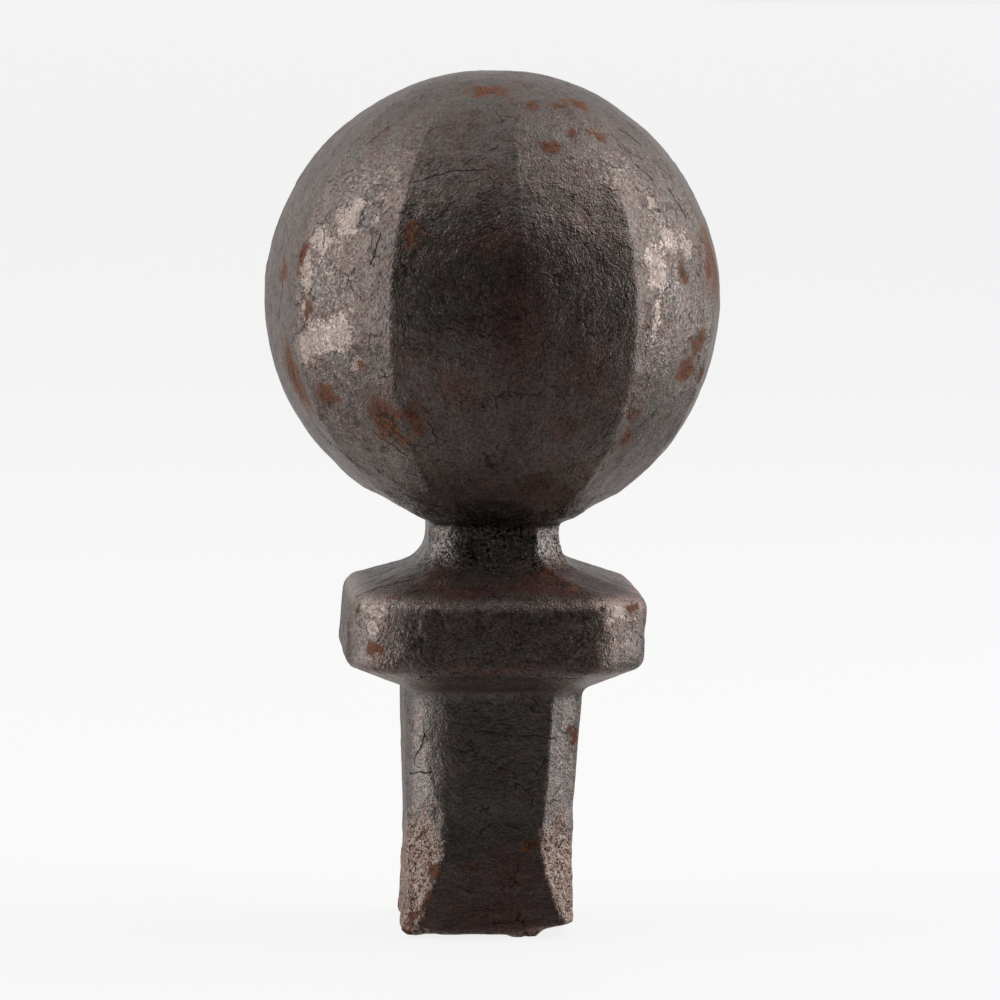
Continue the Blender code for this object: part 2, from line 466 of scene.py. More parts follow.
class PostCapForm(bpy.types.PropertyGroup):
    """Sizes of the forging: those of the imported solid, and three small ones that the skin alone has."""

    shank_width: length("Shank width", "Across the shank's flats", 28.9)
    shank_chamfer: length("Shank chamfer", "Leg of the shank's chamfers", 5.6)
    end_chamfer: length("End chamfer", "Leg of the chamfers at the sheared end", 1.2)
    end_round: length("End rounding", "Rounding of the end's edge", 0.8)
    runout: length("Run-out", "Length over which the chamfers run out", 14)
    parallel: length("Parallel stretch", "Shank above the run-out that doesn't flare", 7)
    flare_length: length("Flare length", "Length of the shank that widens", 22)
    flare: length("Flare", "How much each side widens", 1.0)
    lean: length("Shank lean", "How far the end lies off the axis", 0.5)
    collar_width: length("Collar width", "Across the collar's flats", 51.3)
    collar_chamfer: length("Collar chamfer", "Leg of the collar's chamfers", 8.6)
    under_rise: length("Underside rise", "Height of the collar's underside", 4.7)
    band: length("Collar band", "Height between the collar's arrises", 12)
    top_rise: length("Top rise", "Height of the collar's top slope", 5.2)
    lower_round: length("Lower arris", "Rounding of the collar's lower arris", 2.7)
    upper_round: length("Upper arris", "Rounding of the collar's upper arris", 3.0)
    shank_fillet: length("Shank fillet", "Fillet under the collar", 2.2)
    neck_width: length("Neck width", "Across the neck's flats", 22.5)
    neck_chamfer: length("Neck chamfer", "Leg of the neck's chamfers", 4.2)
    neck_length: length("Neck length", "Between the collar's slope and the ball's", 6.6)
    neck_fillet: length("Neck fillet", "Fillet at the foot of the neck", 6.0)
    ball_diameter: length("Ball diameter", "Over the facets' edges", 80)
    cone_height: length("Cone height", "Straight run from the neck to the ball", 5.6)
    cone_latitude: turn("Cone latitude", "Where the ball turns into the cone", -55.4)
    facets: IntProperty(name="Facets", description="Facets round the ball", default=12, min=3)
    facet_twist: turn("Facet twist", "Angle of the first facet's edge", 2.0)
    facet_spread: turn("Facet spread", "How far the front facets are widened", 4.0)
    facet_flatness: factor("Facet flatness", "0 for a round ball, 1 for flat facets", 0.68)
    crown_tilt: factor("Crown tilt", "How much the crown falls to the right", 0.014)
    collar_skew: length("Collar skew", "How far the collar's upper arris lies to the right", 0.4)
    cone_shift: length("Cone shift", "How far the ball's underside lies to the right", 0.3)
    break_width: length("Torn width", "Width of the torn corner along the front", 10)
    break_back_width: length("Torn width behind", "Width of the torn corner at the back", 3)
    break_rise: length("Torn rise", "How high the torn corner ends", 1.7)


class PostCapSkin(bpy.types.PropertyGroup):
    """Relief and colours of the skin."""

    hammer_depth: length("Hammer marks", "Height of the broad waviness", 0.42)
    dent_depth: length("Dents", "Height of the middling waviness", 0.3)
    grain_depth: length("Grain", "Height of the coarse grain", 0.2)
    plate_depth: length("Scale plates", "Step between plates of scale", 0.09)
    flake_depth: length("Flake depth", "How deep the bare patches lie", 0.13)
    pit_depth: length("Pits", "Depth of the rust pits", 0.26)
    scale_colour: tone("Scale", "Mill scale", (0.3, 0.226, 0.203))
    grey_colour: tone("Grey scale", "Cooler, greyer scale", (0.25, 0.226, 0.212))
    red_colour: tone("Red scale", "Reddish scale", (0.29, 0.145, 0.125))
    bare_colour: tone("Bare steel", "Steel under flaked scale", (0.54, 0.44, 0.39))
    rust_colour: tone("Rust", "Orange rust", (0.38, 0.155, 0.078))
    rust_dark_colour: tone("Old rust", "Dark rust in the pits", (0.11, 0.047, 0.034))


class PostCapStudio(bpy.types.PropertyGroup):
    """Camera and lights."""

    azimuth: turn("Camera azimuth", "Round the axis from the front", -4.5)
    elevation: turn("Camera elevation", "Above the horizon", 5.85)
    roll: turn("Camera roll", "Turn about its own line of sight", -0.67)
    distance: length("Camera distance", "From the aim point", 860)
    lens: focal("Lens", "Focal length on a 36 mm sensor", 176.97)
    aim_side: length("Aim to the side", "To the camera's right of the axis", 1.42)
    aim_height: length("Aim height", "Height of the aim point", 74.93)
    left_glow: glow("Left box", "Radiance of the left soft box", 1.16)
    right_glow: glow("Right box", "Radiance of the right soft box", 1.34)
    top_glow: glow("Top box", "Radiance of the overhead soft box", 0.34)
    back_glow: glow("Back", "Radiance of the room behind the part", 0.55)
    front_glow: glow("Dark end", "Radiance of the room behind the camera", 0.006)
    ground_glow: glow("Ground", "Radiance of the ground in front of the part", 0.13)
    right_fill: glow("Right fill", "Radiance that the dark end gains towards the right", 0.05)
    floor_colour: tone("Floor", "Pale floor", (0.2, 0.2, 0.199))


def opaque(colour):
    """A property's colour with its alpha."""
    return (*colour, 1.0)


def heights(form):
    """Heights of the outline's corners, from the shank's end up, and the ball's centre and radius."""
    flare_start = form.runout + form.parallel
    shank_top = flare_start + form.flare_length
    band_bottom = shank_top + form.under_rise
    band_top = band_bottom + form.band
    neck_bottom = band_top + form.top_rise
    neck_top = neck_bottom + form.neck_length
    cone_top = neck_top + form.cone_height
    radius = form.ball_diameter / 2
    centre = cone_top - radius * math.sin(form.cone_latitude)
    names = "flare_start shank_top band_bottom band_top neck_bottom neck_top cone_top radius centre"
    values = (flare_start, shank_top, band_bottom, band_top, neck_bottom, neck_top, cone_top, radius, centre)
    return namedtuple("Heights", names)(*values)


def outline_corners(form, at):
    """Corners of the outline, each as (half width, chamfer, height) and the rounding of that corner."""
    shank = form.shank_width / 2
    root = shank + form.flare
    collar = form.collar_width / 2
    neck = form.neck_width / 2
    runout_round = 2.0 * MM
    flare_round = 12.0 * MM
    neck_top_round = 1.2 * MM
    corners = [
        ((0.0, 0.0, 0.0), 0.0),
        ((shank, form.end_chamfer, 0.0), form.end_round),
        ((shank, form.shank_chamfer, form.runout), runout_round),
        ((shank, form.shank_chamfer, at.flare_start), flare_round),
        ((root, form.shank_chamfer, at.shank_top), form.shank_fillet),
        ((collar, form.collar_chamfer, at.band_bottom), form.lower_round),
        ((collar, form.collar_chamfer, at.band_top), form.upper_round),
        ((neck, form.neck_chamfer, at.neck_bottom), form.neck_fillet),
        ((neck, form.neck_chamfer, at.neck_top), neck_top_round),
    ]
    steps = math.ceil((QUARTER - form.cone_latitude) / ARC_STEP)
    for step in range(steps + 1):
        latitude = form.cone_latitude + (QUARTER - form.cone_latitude) * step / steps
        half = at.radius * math.cos(latitude)
        corners.append(((half, form.neck_chamfer, at.centre + at.radius * math.sin(latitude)), 0.0))
    return corners


def outline_mesh(form, at):
    """The outline as a chain of edges, with each corner's rounding stored on its point."""
    corners = outline_corners(form, at)
    mesh = bpy.data.meshes.new("outline")
    mesh.from_pydata([point for point, _ in corners], [(i, i + 1) for i in range(len(corners) - 1)], [])
    rounding = mesh.attributes.new("rounding", "FLOAT", "POINT")
    rounding.data.foreach_set("value", [size for _, size in corners])
    return mesh


def place_tree():
    """A node group that gives the coordinates about one place on the skin.

    Its Skin input holds the angle, the half width and the height along the skin.
    """
    nodes = Nodes(bpy.data.node_groups.new("place", "GeometryNodeTree"))
    inputs = {
        "Skin": "NodeSocketVector",
        "Warp": "NodeSocketVector",
        "Size": "NodeSocketVector",
        "Angle": "NodeSocketFloat",
        "Height": "NodeSocketFloat",
        "Turn": "NodeSocketFloat",
    }
    for name, kind in inputs.items():
        nodes.tree.interface.new_socket(name, in_out="INPUT", socket_type=kind)
    for name in ("Reach", "Offset", "Close"):
        nodes.tree.interface.new_socket(name, in_out="OUTPUT", socket_type="NodeSocketFloat")
    group = nodes.add("NodeGroupInput")
    angle, half, skin_height = nodes.split(group.out("Skin"))
    across = (angle - group.out("Angle")) * half
    along = skin_height - group.out("Height")
    spot = nodes.vectors("ADD", nodes.vector(across, along, 0.0), group.out("Warp"))
    turned = {"Vector": spot, "Angle": -group.out("Turn")}
    local = nodes.add("ShaderNodeVectorRotate", {"rotation_type": "Z_AXIS"}, turned)
    reach = nodes.vectors("LENGTH", nodes.vectors("DIVIDE", local, group.out("Size")), out="Value")
    across, along, _ = nodes.split(local)
    half_length, _, _ = nodes.split(group.out("Size"))
    past_end = (abs(across) - half_length).maths("MAXIMUM", 0.0)
    close = (abs(along) + past_end * 3.0).below(0.5 * MM, 1.6 * MM)
    nodes.add("NodeGroupOutput", None, {"Reach": reach, "Offset": along / MM, "Close": close})
    return nodes.tree


class ForgingTree(Nodes):
    """The Geometry Nodes tree that makes the forging from its outline."""

    def __init__(self, form, skin, material):
        super().__init__(bpy.data.node_groups.new("forging", "GeometryNodeTree"))
        self.at = heights(form)
        self.form = form
        self.values = {}
        self.place_group = place_tree()
        self.tree.interface.new_socket("Outline", in_out="INPUT", socket_type="NodeSocketGeometry")
        self.tree.interface.new_socket("Forging", in_out="OUTPUT", socket_type="NodeSocketGeometry")
        self.group = self.add("NodeGroupInput")
        self.sizes = {}
        for settings, names in ((form, FORM_INPUTS), (skin, SKIN_INPUTS)):
            for name in names.split():
                self.sizes[name] = self.size_input(settings, name)
        geometry = self.base_form()
        geometry = self.skin_marks(geometry)
        geometry = self.relief(geometry)
        geometry = self.sheared_end(geometry)
        geometry = self.without(geometry, "angle", "half", "tall", "beyond")
        geometry = self.add("GeometryNodeSetShadeSmooth", None, {"Geometry": geometry, "Shade Smooth": True})
        geometry = self.add("GeometryNodeRealizeInstances", None, {"Geometry": geometry})
        geometry = self.add("GeometryNodeSetMaterial", None, {"Geometry": geometry, "Material": material})
        self.add("NodeGroupOutput", None, {"Forging": geometry})

    def size_input(self, settings, name):
        """An input named as a property is, whose value the modifier gets by the socket's identifier."""
        label = settings.bl_rna.properties[name].name
        socket = self.tree.interface.new_socket(label, in_out="INPUT", socket_type="NodeSocketFloat")
        self.values[socket.identifier] = float(getattr(settings, name))
        return self.group.out(label)

    def store(self, geometry, name, value):
        settings = {"data_type": "FLOAT", "domain": "POINT"}
        sockets = {"Geometry": geometry, "Name": name, "Value": value}
        return self.add("GeometryNodeStoreNamedAttribute", settings, sockets)

    def stored(self, name):
        return self.add("GeometryNodeInputNamedAttribute", {"data_type": "FLOAT"}, {"Name": name})

    def without(self, geometry, *names):
        """The geometry without attributes that nothing needs any more."""
        for name in names:
            geometry = self.add("GeometryNodeRemoveAttribute", None, {"Geometry": geometry, "Name": name})
        return geometry

    def place(self):
        return self.add("GeometryNodeInputPosition")

    def moved(self, geometry, position=None, offset=None):
        sockets = {"Geometry": geometry}
        if position is not None:
            sockets["Position"] = position
        if offset is not None:
            sockets["Offset"] = offset
        return self.add("GeometryNodeSetPosition", None, sockets)

    def soft_min(self, first, second, reach):
        """The smaller of two values, with the corner between them rounded by a cubic within reach."""
        overlap = (reach - abs(first - second)).maths("MAXIMUM", 0.0) / reach
        return first.maths("MINIMUM", second) - overlap.maths("POWER", 3.0) * reach / 6.0

    def lattice(self):
        """A closed block of points, and each one's angle, how far out it lies, and its rise from -1 to 1."""
        sockets = {
            "Size": (2.0, 2.0, 2.0),
            "Vertices X": LATTICE_SIDE,
            "Vertices Y": LATTICE_SIDE,
            "Vertices Z": LATTICE_ROWS,
        }
        block = self.add("GeometryNodeMeshCube", None, sockets)
        x, y, z = self.split(self.place())
        turned = x.maths("ARCTAN2", -y)
        face = (turned / QUARTER).maths("ROUND") * QUARTER
        even = face + (turned - face).maths("TANGENT") * (math.pi / 4)
        facets = self.sizes["facets"]
        even = even - (even * facets).maths("SINE") / facets * RIDGE_GATHER
        angle = even + self.sizes["facet_spread"] * even.maths("SINE") + self.sizes["facet_twist"]
        ring = abs(x).maths("MAXIMUM", abs(y))
        return block, angle, ring, z

    def base_form(self):
        """The lattice wrapped on the outline and its sections."""
        form, at = self.form, self.at
        chain = self.add("GeometryNodeMeshToCurve", None, {"Mesh": self.group})
        rounding = self.stored("rounding")
        sockets = {"Curve": chain, "Count": FILLET_STEPS, "Radius": rounding, "Limit Radius": True}
        outline = self.add("GeometryNodeFilletCurve", {"mode": "POLY"}, sockets)
        total = self.add("GeometryNodeCurveLength", None, {"Curve": outline})

        block, angle, ring, rise = self.lattice()
        end_run = form.shank_width / 2 - 2 * form.end_round
        cap_run = at.radius * CROWN_CAP
        side_way = end_run + (rise + 1.0) / 2.0 * (total - (end_run + cap_run))
        on_top = rise.maths("GREATER_THAN", 0.0)
        end_way = ring * end_run
        cap_way = total - ring * cap_run
        on_side = ring.maths("GREATER_THAN", LATTICE_RIM)
        way = end_way.mixed(cap_way, on_top).mixed(side_way, on_side)
        sample = {"Curves": outline, "Length": way}
        point = self.add("GeometryNodeSampleCurve", {"mode": "LENGTH", "use_all_curves": False}, sample)
        half, chamfer, tall = self.split(point.out("Position"))

        geometry = self.store(block, "angle", angle)
        geometry = self.store(geometry, "way", way)
        geometry = self.store(geometry, "half", half)
        geometry = self.store(geometry, "tall", tall)
        geometry = self.store(geometry, "chamfer", chamfer)
        radius, beyond = self.section()
        geometry = self.store(geometry, "beyond", beyond)
        geometry = self.moved(geometry, self.set_place(radius))
        return self.without(geometry, "way", "chamfer")

    def set_place(self, radius):
        """The skin's place in space, with the lean, the shift, the crown's fall and the collar's skew."""
        at = self.at
        angle, tall = self.stored("angle"), self.stored("tall")
        lean = self.sizes["lean"] * -1.0 * (1.0 - tall / at.shank_top).maths("MAXIMUM", 0.0)
        level = self.soft_min(tall, at.centre + at.radius - CROWN_FLAT, CROWN_SOFTNESS)
        across = radius * angle.maths("SINE") + lean
        cone = tall.above(at.neck_top - 2 * MM, at.cone_top) * tall.below(at.cone_top, at.cone_top + 18 * MM)
        across = across + self.sizes["cone_shift"] * cone
        upper = tall.above(at.centre, at.centre + at.radius * 0.8)
        level = level - (across + 4 * MM).maths("MAXIMUM", 0.0) * self.sizes["crown_tilt"] * upper
        upper_arris = tall.above(at.band_top - 7 * MM, at.band_top - 1 * MM)
        upper_arris = upper_arris * tall.below(at.band_top, at.neck_bottom)
        lower_arris = tall.above(at.shank_top, at.band_bottom)
        lower_arris = lower_arris * tall.below(at.band_bottom, at.band_bottom + 5 * MM)
        left = across.below(-18 * MM, -6 * MM)
        across = across + self.sizes["collar_skew"] * (upper_arris - lower_arris * left)
        along = radius * angle.maths("COSINE") * -1.0
        return self.vector(across, along, level)

    def section(self):
        """Distance of the skin from the section's centre, and how far it is past the flat's edge in mm."""
        at = self.at
        angle, half, tall = self.stored("angle"), self.stored("half"), self.stored("tall")
        chamfer = self.stored("chamfer")
        half = half.maths("MAXIMUM", TINY)
        from_face = abs((angle + QUARTER / 2).maths("FLOORED_MODULO", QUARTER) - QUARTER / 2)
        face = half / from_face.maths("COSINE")
        corner = (half * 2.0 - chamfer) / ((QUARTER / 2 - from_face).maths("COSINE") * math.sqrt(2))
        beyond = (face - corner) / MM
        collar = tall.above(at.shank_top, at.band_bottom) * tall.below(at.band_top, at.neck_bottom)
        left = abs(angle + SOFT_CORNER).below(*SOFT_CORNER_FADE) * tall.above(10 * MM, 24 * MM)
        softness = 0.05 + left * 0.3 - left * collar * 0.1 + collar * 0.06
        front = abs(angle).below(math.radians(38), math.radians(48))
        bulge = from_face.maths("TANGENT").maths("POWER", 2.0)
        right = angle.above(0.0, math.radians(16))
        pillow = collar * front * (bulge * COLLAR_PILLOW + right * bulge * bulge * COLLAR_FALL)
        square = self.soft_min(face - pillow, corner, half * softness)
        return square.mixed(self.ball_radius(half), tall.above(at.neck_top, at.cone_top)), beyond

    def ball_radius(self, half):
        """Distance of the ball's skin from the axis: round, and flattened towards the facets."""
        at = self.at
        angle, tall = self.stored("angle"), self.stored("tall")
        twist, spread = self.sizes["facet_twist"], self.sizes["facet_spread"]
        wobble = self.noise(self.lattice_place(), 20 * MM, 1.0) * math.radians(1.2)
        nudge = abs(angle - RIDGE_NUDGE_AT).below(math.radians(4), math.radians(14)) * RIDGE_NUDGE
        from_edge = angle - twist + wobble + nudge
        even = from_edge - spread * from_edge.maths("SINE")
        width = (2 * math.pi) / self.sizes["facets"]
        from_middle = even.maths("FLOORED_MODULO", width) - width / 2.0
        flat = (width / 2.0).maths("COSINE") / from_middle.maths("COSINE")
        latitude = ((tall - at.centre) / at.radius).maths("MINIMUM", 1.0).maths("MAXIMUM", -1.0)
        flatness = self.sizes["facet_flatness"] * latitude.maths("ARCSINE").below(*FACET_FADE)
        return half * (1.0 - flatness * (1.0 - flat))

    def lattice_place(self):
        """A place in space that doesn't depend on the section: round a cylinder, by angle and height."""
        angle, tall = self.stored("angle"), self.stored("tall")
        radius = 30 * MM
        return self.vector(angle.maths("SINE") * radius, angle.maths("COSINE") * radius, tall)

    def unrolled(self, tall):
        """Height along the skin: the ball's latitude counts as its arc."""
        at = self.at
        level = ((tall - at.centre) / at.radius).maths("MINIMUM", 1.0).maths("MAXIMUM", -1.0)
        arc = level.maths("ARCSINE") * at.radius + at.centre
        return tall.mixed(arc, tall.maths("GREATER_THAN", at.cone_top))

    def unrolled_height(self, tall):
        """The same for a number."""
        at = self.at
        if tall <= at.cone_top:
            return tall
        return at.centre + at.radius * math.asin((tall - at.centre) / at.radius)

    def about(self, place, warp):
        """The skin's reach from a place's centre in the place's own sizes, with Offset and Close beside it."""
        sockets = {
            "Angle": math.radians(place.angle),
            "Height": self.unrolled_height(place.height * MM),
            "Turn": math.radians(place.turn),
            "Size": (place.wide * MM, max(place.tall * MM, TINY), 1.0),
            "Skin": self.skin,
            "Warp": warp,
        }
        return self.add("GeometryNodeGroup", {"node_tree": self.place_group}, sockets)

    def patches(self, places, warp):
        """1 in the middle of the places, 0 at their rims and negative outside them."""
        nearest = None
        for place in places:
            reach = self.about(place, warp)
            nearest = reach if nearest is None else nearest.maths("MINIMUM", reach)
        return 1.0 - nearest

    def cracks(self, warp):
        """Signed distance across the nearest crack in millimetres, and how near it is."""
        distance, near = None, None
        for place in CRACKS:
            here = self.about(place, warp)
            offset, close = here.out("Offset"), here.out("Close")
            if near is None:
                distance, near = offset, close
            else:
                closer = close.maths("GREATER_THAN", near)
                distance = distance.mixed(offset, closer)
                near = near.maths("MAXIMUM", close)
        return distance, near

    def ragged(self, wavelength, reach):
        """An offset on the skin that makes outlines ragged."""
        return self.vectors("MULTIPLY", self.jitter(self.place(), wavelength, reach), (1.0, 1.0, 0.0))

    def skin_marks(self, geometry):
        """Stores where the skin is bare, worn, rusted, pitted, red and cracked."""
        self.skin = self.vector(self.stored("angle"), self.stored("half"), self.unrolled(self.stored("tall")))
        here = self.place()
        angle, tall = self.stored("angle"), self.stored("tall")
        ragged = self.ragged(3.5 * MM, 5.0 * MM)
        flaked = self.ragged(4.5 * MM, 4.2 * MM)
        torn = self.ragged(2.2 * MM, 5.0 * MM)
        crooked = self.ragged(4.0 * MM, 2.6 * MM)
        seen = {
            "bare": self.patches(BARE_PLACES, flaked),
            "worn": self.patches(WORN_PLACES, ragged),
            "rust": self.patches(RUST_PLACES, torn),
            "pitted": self.patches(PITTED_PLACES, ragged),
            "red": self.patches(RED_PLACES, ragged),
        }
        behind = {
            "bare": self.noise(here, 15 * MM, 3.0, 0.6, 0.4) * 6.0 - 0.9,
            "worn": self.noise(here, 26 * MM, 2.0, 0.5) * 5.0 + 0.1,
            "rust": self.noise(here, 11 * MM, 4.0, 0.65, 0.3) * 6.0 - 0.85,
            "pitted": self.noise(here, 9 * MM, 3.0) * 5.0 - 1.0 + tall.below(6 * MM, 30 * MM) * 2.0,
            "red": self.noise(here, 24 * MM, 2.0) * 5.0 - 0.5,
        }
        unseen = abs(angle - VIEW_MIDDLE).above(*VIEW_FADE)
        marks = {}
        for name, patch in seen.items():
            patch = patch.maths("MAXIMUM", FAR_OUTSIDE)
            marks[name] = patch.mixed(behind[name].maths("MAXIMUM", FAR_OUTSIDE), unseen)
        marks["pitted"] = marks["pitted"].maths("MINIMUM", self.may_pit(angle, tall))
        for name, mark in marks.items():
            geometry = self.store(geometry, name, mark)
        distance, near = self.cracks(crooked)
        geometry = self.store(geometry, "crack", distance)
        return self.store(geometry, "cracked", near)

    def may_pit(self, angle, tall):
        """Positive where the shank may be pitted: on its sides, its chamfers and its end."""
        on_side = abs(angle).above(math.radians(44), math.radians(46))
        on_side = on_side - abs(angle).above(math.radians(132), math.radians(134))
        return self.stored("beyond") * 0.9 + 0.3 + (on_side + tall.below(0, 1.6 * MM)) * 9.0

    def relief(self, geometry):
        """Moves the skin along its normals: hammer marks, grain, scale plates, flaked patches and pits."""
        at = self.at
        here = self.place()
        tall = self.stored("tall")
        bare, rust, pitted = self.stored("bare"), self.stored("rust"), self.stored("pitted")
        hammer = self.noise(here, 17 * MM, 1.0, 0.4) * self.sizes["hammer_depth"]
        dents = self.noise(here, 6 * MM, 2.0, 0.5) * self.sizes["dent_depth"]
        neck = tall.above(at.neck_bottom - 3 * MM, at.neck_bottom) * tall.below(at.neck_top, at.cone_top)
        grain = self.noise(here, 2.6 * MM, 2.0, 0.6) * self.sizes["grain_depth"] * (1.0 + neck * 1.2)
        plates = self.noise(here, 9 * MM, 4.0, 0.6, 0.6).above(0.02, 0.07) * self.sizes["plate_depth"]
        flaked = bare.above(0.0, 0.12)
        pits = self.cells(here, 1.5 * MM).below(0.15, 0.75) + self.noise(here, 1.6 * MM, 2.0) * 0.8
        pitting = pits * pitted.above(-0.1, 0.5) * self.sizes["pit_depth"] * -1.0
        crust = self.noise(here, 1.4 * MM, 2.0) * rust.above(0.0, 0.5) * self.sizes["grain_depth"]
        height = hammer + dents + grain * (1.0 - flaked * 0.5) + plates
        height = height - flaked * self.sizes["flake_depth"] + pitting + crust
        return self.moved(geometry, offset=self.scaled(self.add("GeometryNodeInputNormal"), height))

    def sheared_end(self, geometry):
        """Lifts the end to the slanting break, leaves a torn lip, and keeps the end above the ground."""
        form = self.form
        here = self.place()
        x, y, z = self.split(here)
        reach = 5 * MM
        right = form.shank_width / 2 - form.lean
        front = form.shank_width / -2

        # The break, which starts nearer the corner at the back
        share = (y / form.shank_width + 0.5).limited()
        start = right - self.sizes["break_width"].mixed(self.sizes["break_back_width"], share)
        slope = self.sizes["break_rise"] / self.sizes["break_width"]
        plane = ((x - start) * slope * 1.1).maths("MAXIMUM", 0.0)
        torn = plane.above(0.05 * MM, 0.5 * MM)

        # The lip, near the front
        lip = x.above(2 * MM, 5 * MM) * x.below(right - 7.5 * MM, right - 4.5 * MM)
        lip = lip * y.above(front + 0.3 * MM, front + 1.5 * MM) * y.below(front + 5 * MM, front + 10 * MM)

        # The end's roughness, and its stand off the ground
        ragged = self.noise(here, 1.6 * MM, 3.0, 0.65) * (0.35 * MM) + 0.1 * MM
        striped = self.noise(self.vectors("MULTIPLY", here, (0.25, 1.0, 1.0)), 1.3 * MM, 2.0) * (0.12 * MM)
        stand = 0.4 * MM * y.below(front + 4 * MM, front + 14 * MM)
        level = plane - lip * (1.1 * MM) + ragged * (torn + lip).limited() + striped + stand * (1.0 - lip)
        level = level.maths("MAXIMUM", 0.0)
        lifted = (z + level * (1.0 - z / reach).limited()).maths("MAXIMUM", 0.0)

        # The corner that the shears squeezed out at the front left, and the burr over the lip
        low = z.below(1.5 * MM, 6 * MM)
        bulge = low * x.below(-13.5 * MM, -12 * MM) * y.above(-15.5 * MM, -12 * MM) * y.below(-6 * MM, 3 * MM)
        burr = lip * z.below(0.0, 2.5 * MM) * (0.8 * MM)
        return self.moved(geometry, self.vector(x - bulge * (0.9 * MM), y - burr, lifted))


